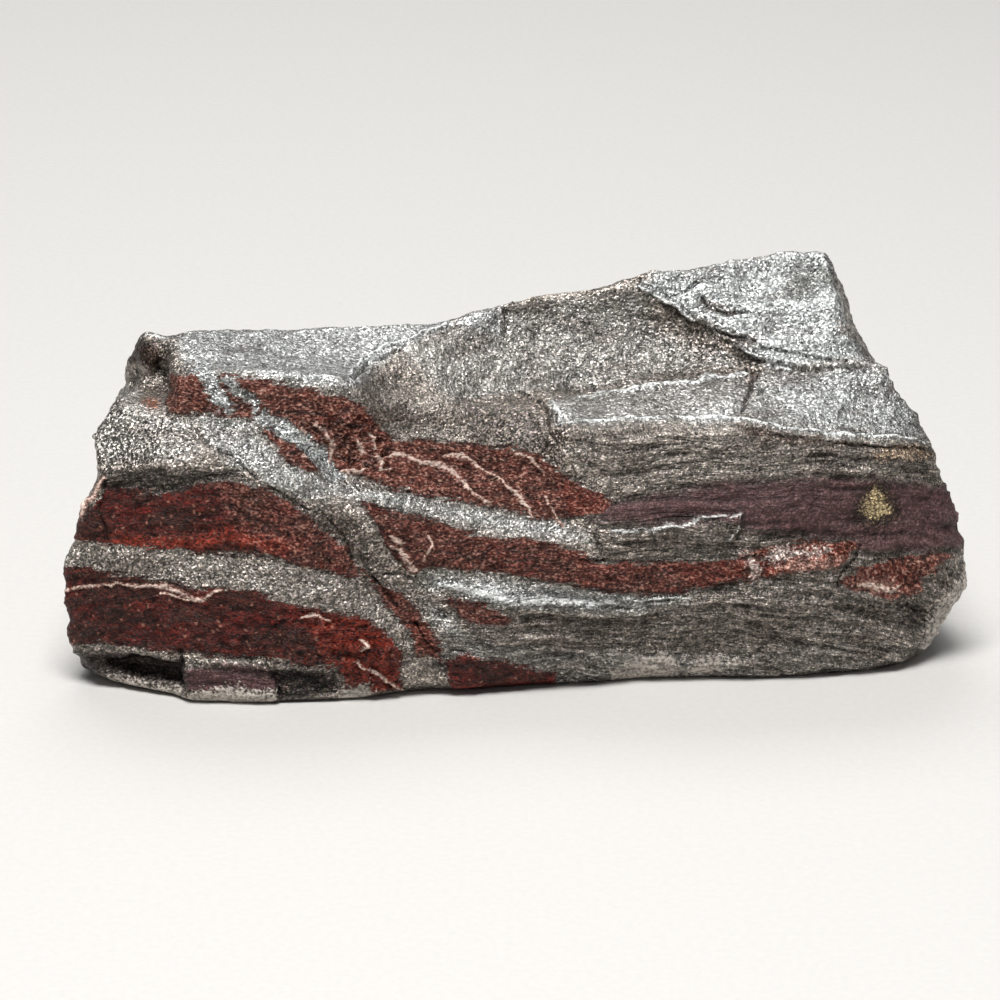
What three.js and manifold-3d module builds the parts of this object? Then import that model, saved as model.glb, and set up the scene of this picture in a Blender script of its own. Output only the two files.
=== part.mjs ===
// A hand specimen of banded specular hematite and red jasper: one broken block of rock, in millimetres.
// The length runs along X, the broken front face looks along -Y, and the block rests on z = 0.
import * as THREE from "three";
import { ImprovedNoise } from "three/addons/math/ImprovedNoise.js";
import { mergeVertices } from "three/addons/utils/BufferGeometryUtils.js";
import Module from "manifold-3d";

const wasm = await Module();
wasm.setup();

// Driving dimensions: the block's length, how far below the base the rough skin starts, and a cutter's reach
const LENGTH = 150;
const BASE_DROP = 1.5;
const REACH = 200;

// Facet rows between two neighbouring feature lines, facet columns from end to end, and how many of
// those columns close each end
const ROWS_PER_STRIP = 3;
const COLUMNS = 80;
const END_COLUMNS = 9;

// Lumps and bedded ledges of the broken surface: how high they stand and how long they are along X, Y and Z
const LUMPS = { height: 1.1, size: new THREE.Vector3(17, 12, 10), offset: 3.7 };
const LEDGES = { height: 0.9, size: new THREE.Vector3(34, 14, 3.6), offset: 11.3 };

// Feature lines of the block, each from the left end to the right as [x, y, z] points.
// In this order they go up the front, over the crest, down the back and under the base.
const frontToe = [
  [-69, -12, -BASE_DROP], [-55, -19, -BASE_DROP], [-40, -23, -BASE_DROP], [-17, -21, -BASE_DROP],
  [18, -14, -BASE_DROP], [55, -11, -BASE_DROP], [66, -5, -BASE_DROP],
];
const frontLip = [
  [-71.5, -17, 5.5], [-70.5, -19.5, 3.5], [-67.5, -21, 2], [-55.5, -24, 1.5], [-54, -26, 1],
  [-40, -27.5, 0.5], [-27, -26.5, 1], [-17, -25, 2], [-6, -23.5, 1.5], [7, -21.5, 2],
  [18, -18, 2], [20.5, -18, 2.5], [42, -17, 2], [55, -15.5, 2], [64, -13, 2.5], [69, -9, 3.5],
];
const darkLayerTop = [
  [-73, -18, 9], [-67.5, -22, 8], [-54.5, -26, 7], [-40, -27.5, 6], [-27, -27, 5],
  [-15.5, -25.5, 6], [-6, -24.5, 9], [7, -23, 10], [20.5, -20, 10], [41.5, -18.5, 10],
  [55, -17, 10], [65.5, -14, 11], [72, -8, 10.5],
];
const lowerRidge = [
  [-73, -18, 22], [-65.5, -22.5, 20], [-52.5, -25.5, 19], [-40, -26.5, 18], [-28.5, -26, 14],
  [-19, -24.5, 12], [-12.5, -24, 19.5], [0.5, -24.5, 17.5], [20, -21, 15], [41.5, -18.5, 15.5],
  [54.5, -16.5, 16], [68, -12, 15.5], [74.5, -6, 14.5],
];
const stepEdge = [
  [-69, -18.5, 33.5], [-59, -21, 35], [-44.5, -23, 37], [-35, -23.5, 33.5], [-27.5, -24.5, 28],
  [-18.5, -23, 29.5], [-6, -23, 27], [7, -22.5, 25.5], [20, -20, 27.5], [36.5, -18.5, 30],
  [46.5, -16.5, 28.5], [58, -14, 27.5], [68, -10, 26], [73, -5.5, 24.5],
];
const bulgeUnderside = [
  [-68, -19, 36.5], [-59, -22.5, 39], [-44.5, -22.5, 39.5], [-35, -22, 37.5], [-22, -20.5, 33.5],
  [-6, -19.5, 30.5], [7, -19, 30], [20, -18.5, 34.5], [36.5, -17, 37], [51, -15, 37],
  [62.5, -12, 36], [70.5, -6.5, 31.5],
];
const shelfLip = [
  [-70, -14, 41.5], [-64, -13, 45.5], [-56.5, -15.5, 46.5], [-42, -18.5, 45.5], [-31.5, -18, 39],
  [-19, -14, 39], [-6, -12, 39.5], [4, -13, 41], [6.5, -17, 44], [20, -16.5, 43],
  [36.5, -15.5, 43], [52.5, -13.5, 41], [62.5, -11, 40], [67, -7.5, 38.5],
];
const browEdge = [
  [-62, -7, 46.5], [-57, -11.5, 49.5], [-51, -14.5, 52], [-38, -15.5, 52.5], [-27, -14.5, 50.5],
  [-19, -11, 43.5], [-6, -8.5, 43], [4, -7.5, 45], [7.5, -8, 46], [10.5, -1, 45],
  [23.5, -0.5, 46.5], [37.5, 0, 48], [46.5, -2, 49], [57.5, -2.5, 50], [60.5, -3, 49.5],
];
const slopeFoot = [
  [-61, -3, 48.5], [-56.5, -8, 51.5], [-51.5, -9, 52], [-38.5, -9, 52], [-27, -9, 51],
  [-19, -7, 46.5], [-6, -5, 45.5], [4, -3, 46.5], [10.5, 0, 46], [24, 1, 47],
  [37.5, 1, 48.5], [46.5, -0.5, 50], [55, -0.5, 50.5],
];
const upperSlope = [
  [-60.5, 0, 50.5], [-56, -4, 53], [-51.5, -4, 53], [-38.5, -3.5, 52.5], [-25.5, -3, 51.5],
  [-14, -1, 51], [-6, 1, 51.5], [7.5, 4.5, 53], [20.5, 6, 53.5], [30.5, 5.5, 56],
  [45, 4.5, 58.5], [53, 3, 57.5],
];
const crest = [
  [-61.5, 4, 51], [-60, 5, 52.5], [-56, 4, 53], [-54, 3.5, 53.5], [-40.5, 4, 53.5],
  [-24, 4, 54], [-12.5, 4, 55], [-7.5, 4.5, 57], [-2.5, 5.5, 58.5], [5, 7, 59.5],
  [14, 8, 60], [20.5, 8.5, 61.5], [34, 10, 63.5], [45.5, 12, 64.5], [49.5, 12, 65], [51, 11, 64.5],
];
const backBrow = [
  [-64, 10, 46], [-48, 13, 48], [-28, 14, 48], [-8, 17, 51], [16, 19, 54], [38, 22, 57], [53, 19, 57],
];
const backShelf = [
  [-67, 14, 37], [-50, 19, 38], [-30, 19, 36], [-12, 21, 38], [8, 23, 41], [36, 26, 43], [58, 20, 44],
];
const backBelly = [
  [-71, 11, 22], [-52, 20, 22], [-24, 22, 19], [2, 26, 22], [30, 27.5, 22], [54, 25, 25], [70, 15, 22],
];
const backToe = [
  [-67, 8, -BASE_DROP], [-48, 15, -BASE_DROP], [-20, 19, -BASE_DROP], [6, 22, -BASE_DROP],
  [34, 24, -BASE_DROP], [54, 20, -BASE_DROP], [66, 11, -BASE_DROP],
];
const featureLines = [
  frontToe, frontLip, darkLayerTop, lowerRidge, stepEdge, bulgeUnderside, shelfLip, browEdge,
  slopeFoot, upperSlope, crest, backBrow, backShelf, backBelly, backToe,
];
const ROWS = featureLines.length * ROWS_PER_STRIP;

// Ridges, lumps and hollows of the broken faces, each about a line between two points: how far it reaches to
// either side of the line, and its height, which is below zero for a hollow
const reliefs = {
  upperFaceHollow: { from: [-6, 0, 50], to: [24, 4, 54], reach: 12, height: -1.4 },
  upperFaceRidge: { from: [23, 8.5, 60.5], to: [41, 1, 50], reach: 5, height: 1.3 },
  jasperNodule: { from: [-18.5, -23, 27.5], to: [-14.5, -24, 25], reach: 4.5, height: 1.5 },
  jasperLobe: { from: [-35, -27, 11], to: [-22, -26, 10.5], reach: 6, height: 1 },
  glossyJasper: { from: [38, -19, 21], to: [54, -17, 21.5], reach: 5.5, height: 1.1 },
  shearGroove: { from: [-34, -25, 34], to: [-13, -25, 6], reach: 5, height: -1.8 },
  shearBranch: { from: [-24, -25, 26], to: [-8, -24, 12], reach: 4, height: -0.9 },
  lowerRightPit: { from: [64.5, -13, 11.5], to: [67, -12.5, 9.5], reach: 4, height: -1.8 },
  backUpperHollow: { from: [18, 23, 44], to: [40, 25, 46], reach: 18, height: -3.4 },
  backLowerHollow: { from: [-42, 20, 16], to: [-18, 22, 10], reach: 17, height: -2.8 },
};

// Pieces broken away from the block. A chip is a flat break through a point: what lies on the out side is gone.
const chips = {
  backRightCorner: { at: [62, 17, 30], out: [0.75, 0.62, 0.2] },
  backLeftCorner: { at: [-64, 12, 14], out: [-0.75, 0.6, -0.25] },
  backUpperBreak: { at: [2, 20.5, 44], out: [-0.16, 0.86, 0.48] },
  backUndercut: { at: [14, 24, 8], out: [0.08, 0.9, -0.42] },
  crestRightBack: { at: [50, 15, 62], out: [0.55, 0.5, 0.65] },
  lowerRightBevel: { at: [71.5, -9, 11], out: [0.8, -0.48, -0.36] },
};
// A notch is a square corner broken out: it runs from its inner corner along the signs, turned about Z.
const notches = {
  upperLeftStep: { corner: [-57, -1, 46], signs: [-1, -1, 1], turn: 8 },
  backUpperStep: { corner: [-22, 12.5, 37], signs: [-1, 1, 1], turn: -6 },
};

// Point of a feature line at a share of its run along X.
function pointOnLine(line, share) {
  const x = THREE.MathUtils.lerp(line[0][0], line.at(-1)[0], share);
  const after = line.findIndex((point) => point[0] >= x);
  const next = after < 1 ? 1 : after;
  const from = new THREE.Vector3(...line[next - 1]);
  const to = new THREE.Vector3(...line[next]);
  return from.lerp(to, (x - from.x) / (to.x - from.x));
}

// Point of the skin: share runs from the left end to the right, and round counts feature lines.
function pointOnSkin(share, round) {
  const line = Math.floor(round);
  const from = pointOnLine(featureLines[line], share);
  const to = pointOnLine(featureLines[(line + 1) % featureLines.length], share);
  return from.lerp(to, round - line);
}

// Middle of the block's section at a share of its length.
function middleOfSection(share) {
  const section = featureLines.map((line) => pointOnLine(line, share));
  return new THREE.Box3().setFromPoints(section).getCenter(new THREE.Vector3());
}

// How far along X an end of the block lies at a place on it: nearer points of its rim count for more.
function endFace(share, { y, z }) {
  let sum = 0;
  let weights = 0;
  for (let row = 0; row < ROWS; row++) {
    const rim = pointOnSkin(share, row / ROWS_PER_STRIP);
    const weight = 1 / ((rim.y - y) ** 2 + (rim.z - z) ** 2);
    sum += weight * rim.x;
    weights += weight;
  }
  return sum / weights;
}

// The skin over the feature lines: a globe's grid moved onto them, with its poles in the two ends.
function skinGeometry() {
  const globe = new THREE.SphereGeometry(1, ROWS, COLUMNS);
  globe.deleteAttribute("normal");
  globe.deleteAttribute("uv");
  const skin = mergeVertices(globe);
  const position = skin.attributes.position;
  for (let i = 0; i < position.count; i++) {
    const onGlobe = new THREE.Vector3().fromBufferAttribute(position, i);
    const column = Math.round((Math.acos(THREE.MathUtils.clamp(onGlobe.y, -1, 1)) / Math.PI) * COLUMNS);
    const turn = Math.atan2(onGlobe.z, -onGlobe.x) / (2 * Math.PI);
    const round = (Math.round((turn + 1) * ROWS) % ROWS) / ROWS_PER_STRIP;
    const share = THREE.MathUtils.clamp((column - END_COLUMNS) / (COLUMNS - 2 * END_COLUMNS), 0, 1);
    const fromEnd = Math.min(column, COLUMNS - column);
    const spread = Math.min(1, fromEnd / END_COLUMNS);
    const place = middleOfSection(share).lerp(pointOnSkin(share, round), spread);
    if (spread < 1) {
      place.x = endFace(share, place);
    }
    position.setXYZ(i, place.x, place.y, place.z);
  }
  return skin;
}

// Height of the broken skin over its feature lines: noise that lifts and sinks it, and each relief.
const noise = new ImprovedNoise();
function noiseAt(place, { height, size, offset }) {
  const p = place.clone().divide(size).addScalar(offset);
  return height * noise.noise(p.x, p.y, p.z);
}
function reliefAt(place, { from, to, reach, height }) {
  const spine = new THREE.Line3(new THREE.Vector3(...from), new THREE.Vector3(...to));
  const nearest = spine.closestPointToPoint(place, true, new THREE.Vector3());
  const closeness = Math.max(0, 1 - (nearest.distanceTo(place) / reach) ** 2);
  return height * closeness ** 2;
}

// Moves each vertex in or out along its normal, so that the skin breaks into lumps, ledges, ridges and hollows.
function roughen(geometry) {
  geometry.computeVertexNormals();
  const { position, normal } = geometry.attributes;
  for (let i = 0; i < position.count; i++) {
    const place = new THREE.Vector3().fromBufferAttribute(position, i);
    const out = new THREE.Vector3().fromBufferAttribute(normal, i);
    const raised = Object.values(reliefs).reduce((sum, relief) => sum + reliefAt(place, relief), 0);
    place.addScaledVector(out, noiseAt(place, LUMPS) + noiseAt(place, LEDGES) + raised);
    position.setXYZ(i, place.x, place.y, place.z);
  }
  return geometry;
}

// Cutters for the pieces broken away
function chipCutter({ at, out }) {
  const towards = new THREE.Quaternion();
  towards.setFromUnitVectors(new THREE.Vector3(0, 0, 1), new THREE.Vector3(...out).normalize());
  return new THREE.BoxGeometry(REACH, REACH, REACH)
    .translate(0, 0, REACH / 2)
    .applyQuaternion(towards)
    .translate(...at);
}
function notchCutter({ corner, signs, turn }) {
  return new THREE.BoxGeometry(REACH, REACH, REACH)
    .translate(...signs.map((sign) => (sign * REACH) / 2))
    .rotateZ(THREE.MathUtils.degToRad(turn))
    .translate(...corner);
}
function floorCutter() {
  return chipCutter({ at: [0, 0, 0], out: [0, 0, -1] });
}

// A closed geometry as a solid for joining and cutting, and back.
function solidOf(geometry) {
  geometry.deleteAttribute("normal");
  geometry.deleteAttribute("uv");
  const merged = mergeVertices(geometry);
  const vertProperties = new Float32Array(merged.attributes.position.array);
  const triVerts = new Uint32Array(merged.index.array);
  return new wasm.Manifold(new wasm.Mesh({ numProp: 3, vertProperties, triVerts }));
}
function geometryOf(solid) {
  const { vertProperties, triVerts } = solid.getMesh();
  return new THREE.BufferGeometry()
    .setAttribute("position", new THREE.BufferAttribute(vertProperties, 3))
    .setIndex(new THREE.BufferAttribute(triVerts, 1));
}

// The block at its real length, with its origin at the middle of its base.
function rockGeometry() {
  const cutters = [
    ...Object.values(chips).map(chipCutter),
    ...Object.values(notches).map(notchCutter),
    floorCutter(),
  ];
  const skin = solidOf(roughen(skinGeometry()));
  const rock = geometryOf(cutters.reduce((solid, cutter) => solid.subtract(solidOf(cutter)), skin));
  rock.computeBoundingBox();
  const { min, max } = rock.boundingBox;
  const scale = LENGTH / (max.x - min.x);
  rock.translate(-(min.x + max.x) / 2, -(min.y + max.y) / 2, -min.z);
  return rock.scale(scale, scale, scale);
}

const bandedHematite = new THREE.MeshStandardMaterial({ color: 0x8d8b8e, roughness: 0.42, metalness: 0.6 });
const bandedRock = new THREE.Mesh(rockGeometry(), bandedHematite);
bandedRock.name = "banded_rock";

const specimen = new THREE.Group();
specimen.add(bandedRock);
export default specimen;
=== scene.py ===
import math

import bmesh
import bpy
import numpy as np
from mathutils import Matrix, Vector, noise


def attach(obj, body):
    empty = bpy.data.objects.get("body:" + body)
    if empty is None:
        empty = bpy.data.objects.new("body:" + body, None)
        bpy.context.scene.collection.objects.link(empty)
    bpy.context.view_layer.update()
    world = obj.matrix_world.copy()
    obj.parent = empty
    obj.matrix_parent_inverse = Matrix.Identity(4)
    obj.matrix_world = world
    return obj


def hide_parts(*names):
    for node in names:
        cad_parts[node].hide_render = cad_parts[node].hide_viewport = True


# A hand specimen of banded rock: silvery specular hematite layered with dark red jasper.
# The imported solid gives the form. Its skin is made finer here, broken up and painted with its bands.
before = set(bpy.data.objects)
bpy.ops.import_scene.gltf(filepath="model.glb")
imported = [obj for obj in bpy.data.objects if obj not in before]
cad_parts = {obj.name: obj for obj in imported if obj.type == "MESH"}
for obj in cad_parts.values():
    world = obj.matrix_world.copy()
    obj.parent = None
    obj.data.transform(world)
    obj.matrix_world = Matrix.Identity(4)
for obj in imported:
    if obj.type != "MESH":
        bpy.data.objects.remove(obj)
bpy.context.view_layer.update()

MM = 0.001

# Sockets of a mix node by number, because its colour and number sockets share their names.
SHARE, NUMBER_A, NUMBER_B, COLOUR_A, COLOUR_B = 0, 2, 3, 6, 7
COLOUR_OUT = 2

# Camera: it looks along +Y, tipped down, and its picture is a square of pixels.
PICTURE = 1000
SENSOR_MM = 36.0
LENS_MM = 195.5
LOOK_DOWN = math.radians(20)
CAMERA_DISTANCE = 911 * MM
CAMERA_AIM = np.array((-3.12, 0.0, 25.72)) * MM
VIEW_AHEAD = np.array((0.0, math.cos(LOOK_DOWN), -math.sin(LOOK_DOWN)))
VIEW_UP = np.array((0.0, math.sin(LOOK_DOWN), math.cos(LOOK_DOWN)))
PIXEL_MM = CAMERA_DISTANCE * SENSOR_MM / LENS_MM / PICTURE / MM

# Skin: the size of its even faces, and how its sharp edges are worn. A face that turns to the camera by more
# than FRONT_FACING is cut finer, and once more where it is within FINE_REACH millimetres of a thin line.
FACE_SIZE = 1.0 * MM
WELD = 0.001 * MM
WEAR_ROUNDS = 2
WEAR_FACTOR = 0.5
FRONT_FACING = 0.1
FINE_REACH = 0.7
EVEN_ROUNDS = 2

# The foot stays flat below the first height and is fully broken above the second.
FOOT_FLAT = 0.3 * MM
FOOT_BROKEN = 2.5 * MM

# Kinds of break: their heights and the sizes of their lumps along X, Y and the beds, in millimetres.
HACKLE = {"height": 0.42, "size": (5.5, 5.5, 4.5), "octaves": 4, "seed": 0.0}
GRAIN = {"height": 0.2, "size": (1.5, 1.5, 1.2), "octaves": 2, "seed": 8.3}
STRIAE = {"height": 0.34, "size": (14.0, 7.0, 1.0), "octaves": 3, "seed": 6.1}
LUMPS = {"height": 1.1, "size": (3.2, 3.2, 2.6), "octaves": 2, "seed": 2.2}
CRUMBS = {"height": 0.34, "size": (1.9, 1.9, 1.1), "octaves": 2, "seed": 5.2}
LUMP_FOOT = 0.275
LEDGE_HEIGHT = 0.5
LEDGE_THICK = 1.7
LEDGE_LENGTH = 20.0
SEAM_RISE = 0.22
VEIN_RISE = 0.3
LIP_RISE = 0.28
CRACK_DEPTH = 0.6

# A ledge drops in the last part of its layer's thickness. Away from the bedded and the lumpy parts only these
# shares of the striae, ledges and lumps stay.
LEDGE_DROP = 0.75
STRIAE_LEAST = 0.25
LEDGE_LEAST = 0.1
LUMP_LEAST = 0.2

# Rounds of smoothing that give the level from which hollows and crests are told, for the shade painted into
# the hollows and the light painted onto the crests.
HOLLOW_ROUNDS = 10

# Beds: how they wave, and how they droop at the right end, below the seams.
BED_WAVE = 1.3 * MM
BED_WAVE_SIZE = 19.0
DROOP_START = 40 * MM
DROOP_CURVE = 6.0
DROOP_TOP = -4 * MM
DROOP_FOOT = -22 * MM

# Half width of the orange streak, in millimetres.
STREAK_HALF = 1.2

# Behind this depth the bands wander away from those of the front, by up to these distances in pixels. The
# sizes of this and of the fraying below are in millimetres.
FRONT_REACH = 4 * MM
WANDER_RUN = 18 * MM
WANDER = np.array((60.0, 34.0))
WANDER_SIZE = (30, 24, 24)

# How far in pixels the edges of bands and plates fray, and how far thin lines swell.
BAND_FRAY = 2.6
BAND_FRAY_SIZE = (3, 3, 2.5)
PLATE_FRAY = 5.0
PLATE_FRAY_SIZE = (6, 6, 6)
LINE_SWELL = 0.6
LINE_SWELL_SIZE = (2.2, 2.2, 2.2)

# How far a face turns to the camera where its bands hold still, its stains come in, and its thin lines do.
STEADY_FACING = (0.0, 0.12)
STAIN_FACING = (-0.1, 0.05)
LINE_FACING = (0.05, 0.2)

# Stains and strands are taken to be this far off, in millimetres, on faces that the camera doesn't see.
UNSEEN_DEPTH = 20.0

# Depths in millimetres over which parts of the front come in at their edges.
SEAM_EDGE = (-0.3, 0.4)
STRAND_EDGE = (-0.5, 0.3)
LUMPY_EDGE = (-0.4, 0.8)
BEDDED_EDGE = (-1.0, 1.5)
BRIGHT_AND_LIT_BLUR = 1.5
DARK_AND_SHADED_BLUR = 1.4
FRESH_BLUR = 1.5
WEATHERED_BLUR = 0.8

# Tones of the hematite: where it is neither bright nor dark, what the highlight painted on a lip adds, and on
# the hidden sides the least tone, with what bright patches add and what light painted onto upward faces adds.
MID_TONE = 0.55
LIP_HIGHLIGHT_TONE = 0.5
HIDDEN_TONE = 0.2
PATCH_TONE = 0.45
PATCH_SIZE = (22, 16, 7)
PATCH_EDGE = (-0.5, 0.5)
UPWARD_LIGHT_TONE = 0.35
UPWARD_LIGHT_EDGE = (0.3, 0.9)
HIDDEN_BEDDED = 0.7

# Real sizes in millimetres of the patterns that the material draws, the pairs along the beds and across them.
# The shining flakes of the rock are 0.3 to 0.6 mm, and are drawn at the small end of that.
BED_NOISES = {"streaks": (5.0, 0.6), "clouds": (9.0, 3.0), "grit": (0.55, 0.33)}
BED_CELLS = {"flakes": (0.3, 0.26), "chips": (1.4, 0.8)}
GRAIN_SIZE = 0.55
CRUMB_SIZE = 0.95
SPECK_SPACING = 1.5
GRAIN_DETAIL = 3.0
BED_DETAIL = 4.0

# Colours of hematite from its dark layers and painted shade up to its shiny flakes and painted lit faces,
# with the tones where each comes in and is full, and those of the brown film on it and of its purple-grey
# layers.
STEEL_DARK = "#4e4742"
STEEL_STEPS = [(0.0, 0.55, "#b0a79d"), (0.55, 1.0, "#d8dbd8")]
STEEL_FILM = "#685b54"
PURPLE_GREY = "#583a3c"

# Finish of hematite. Each range says which values of a pattern count and what they give, and each pair what
# there is at no tone, bedding or gloss, and at full.
STEEL_METALLIC = {"To Min": 0.92, "To Max": 0.0}
STEEL_ROUGHNESS = {NUMBER_A: 0.44, NUMBER_B: 0.32}
FLAKE_TINT = 0.03
# Glints painted into the colour: a few flakes are made much brighter than their neighbours.
FLASH_POWER = 3.0
FLASH_LEAST = 0.44
FLASH_MOST = {NUMBER_A: 2.4, NUMBER_B: 1.8}
FILM_RANGE = {"From Min": 0.5, "From Max": 0.36, "To Max": 0.45}
MOTTLE_RANGE = {"From Min": 0.36, "From Max": 0.64, "To Min": 0.74, "To Max": 1.16}
STREAK_RANGE = {"From Min": 0.36, "From Max": 0.64, "To Min": 0.58, "To Max": 1.24}
PIT_RANGE = {"From Min": 0.38, "From Max": 0.5, "To Min": 0.5, "To Max": 1.04}
JOINT_RANGE = {"From Max": 0.04, "To Min": 0.2, "To Max": 1.0}
# Glints painted on a few of the purple-grey grains.
PURPLE_RANGE = {"To Min": 0.7, "To Max": 1.9}
PURPLE_COVER = 0.82

# Colours of jasper: its ground, the clouds and streaks in it, its weathered and fresh parts, and the pale
# splinters and specks where it chipped, which are partly highlights painted on the chips.
JASPER_GROUND = "#3d1b14"
JASPER_CLOUD = "#5a1a12"
JASPER_WEATHERED = "#6e3d31"
JASPER_STREAK = "#3a241d"
JASPER_FRESH = "#7c2b1b"
JASPER_SPLINTER_GLINT = "#c49f8f"
JASPER_SPECK_GLINT = "#a87462"

# Finish of jasper. A broken, dusty face sends back less of the light than a polished one, which has 0.5.
JASPER_SPECULAR = 0.28
JASPER_ROUGHNESS = {NUMBER_A: 0.5, NUMBER_B: 0.2}
CLOUD_RANGE = {"From Min": 0.4, "From Max": 0.6}
DARK_STREAK_RANGE = {"From Min": 0.5, "From Max": 0.64, "To Max": 0.75}
GRIT_RANGE = {"From Min": 0.36, "From Max": 0.64, "To Min": 0.15, "To Max": 2.0}
SPLINTER_RANGE = {"From Min": 0.55, "From Max": 0.65}
SPECK_RANGE = {"From Min": -0.25, "From Max": -0.4, "To Max": 0.8}
SPECK_GRAIN = -0.9

# How far in millimetres a pattern shifts the edges of the bands, and how soft they are.
JASPER_FRAY, JASPER_SOFT = 5.0, 0.3
PURPLE_FRAY, PURPLE_SOFT = 5.0, 1.2
STAIN_FRAY, STAIN_SOFT = 5.0, 0.7
CRUST_FRAY, CRUST_SOFT = 8.0, 0.5
RAGGED_STREAKS = 0.6
CRUST_GRAIN = 0.5

# The crust, the glints speckling the stains, and the pale lines: for each line its band, its colour, the
# strengths at which it comes in and is full, and how far it covers. A lip's white is a painted highlight. A
# vein has a brown rim.
CRUST_GREY = "#bdb4aa"
CRUST_RANGE = {"From Min": 0.38, "From Max": 0.58, "To Min": 0.4, "To Max": 1.15}
GLINT_SPECKLE_RANGE = {"To Min": 0.3, "To Max": 2.6}
PALE_AND_GLINT_LINES = [
    # A lip's white is a highlight painted along its edge.
    ("lip", "#f4f4f0", 1.9, 2.7, 0.8),
    ("vein", "#8f5c4c", 1.2, 2.0, 0.75),
    ("vein", "#e6cdbf", 1.85, 2.5, 0.95),
]
LINE_GRIT = 3.0
LINE_RANGE = {"From Min": 0.1, "From Max": 0.35}

# Finest relief: how far each pattern counts, its depth in millimetres, and how far flakes and chips lean.
GRIT_RELIEF = 1.5
CRUMB_RELIEF = -0.6
BED_RELIEF = 1.2
RELIEF_DEPTH = 0.48
FLAKE_LEAN = {"To Min": 0.45, "To Max": 0.68}
CHIP_LEAN = 0.9
# Shade painted into the hollows and light painted onto the crests: how far below or above its smoothed level
# the skin stands, in millimetres, and what the colour is scaled by there.
PAINTED_HOLLOW_SHADE_RANGE = {"From Min": -0.25, "From Max": 0.2, "To Min": 0.35, "To Max": 1.2}

# The stage: the floor's half size in metres, its card with fibres drawn coarse enough to show, and the room.
FLOOR_HALF = 3.0
CARD_DARK, CARD_LIGHT = "#c8c6c2", "#d2d0cc"
CARD_ROUGHNESS = 0.9
FIBRE_SIZE = 1.2
ROOM_GREY = "#8a8a8c"
ROOM_STRENGTH = 0.7

# Outlines of the bands as the camera sees them, in the picture's pixels.
JASPER = {
    "upper_seam": [
        (172, 374), (215, 374), (262, 380), (320, 391), (360, 402), (382, 428), (396, 440), (450, 442),
        (520, 449), (545, 458), (575, 482), (614, 502), (600, 516), (545, 518), (500, 508), (440, 499),
        (395, 490), (370, 478), (320, 468), (318, 477), (303, 474), (281, 452), (257, 420), (205, 412),
        (170, 414), (166, 405),
    ],
    "left_seam": [
        (70, 540), (95, 503), (104, 488), (180, 493), (205, 483), (225, 481), (270, 490), (312, 520),
        (345, 545), (362, 572), (352, 580), (310, 567), (270, 556), (165, 549), (85, 541),
    ],
    "lower_seam": [
        (60, 566), (90, 568), (185, 587), (258, 592), (285, 604), (345, 613), (378, 624), (402, 650),
        (402, 690), (345, 692), (340, 668), (262, 658), (155, 650), (58, 636),
    ],
    "middle_seam": [
        (363, 502), (440, 522), (480, 536), (530, 538), (592, 554), (588, 561), (660, 562), (735, 560),
        (745, 578), (680, 592), (620, 594), (540, 580), (495, 572), (425, 567), (416, 575), (395, 560),
        (380, 530),
    ],
    "glossy_seam": [
        (724, 570), (745, 550), (790, 543), (852, 539), (858, 546), (838, 567), (800, 572), (745, 582),
    ],
    "right_seam": [
        (842, 583), (862, 566), (900, 558), (935, 551), (955, 550), (938, 561), (918, 578), (921, 590),
        (890, 600), (855, 592),
    ],
    "lens": [(445, 597), (485, 602), (514, 620), (505, 625), (465, 621)],
    "shear_seam": [
        (352, 556), (375, 582), (410, 600), (442, 645), (440, 660), (412, 655), (414, 640), (385, 602),
    ],
    "bottom_patch": [(446, 662), (460, 652), (557, 673), (558, 684), (520, 690), (450, 690)],
}

# Silver strands that cut through the upper jasper seam.
STRANDS = {
    "steep_strand": [
        (190, 372), (200, 378), (210, 402), (228, 416), (238, 410), (223, 388), (210, 364), (198, 360),
    ],
    "thin_strand": [(218, 378), (228, 391), (248, 404), (252, 416), (260, 414), (257, 398), (228, 374)],
    "long_strand": [
        (250, 418), (264, 408), (294, 425), (325, 446), (345, 479), (328, 478), (300, 450), (266, 427),
    ],
}

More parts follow.
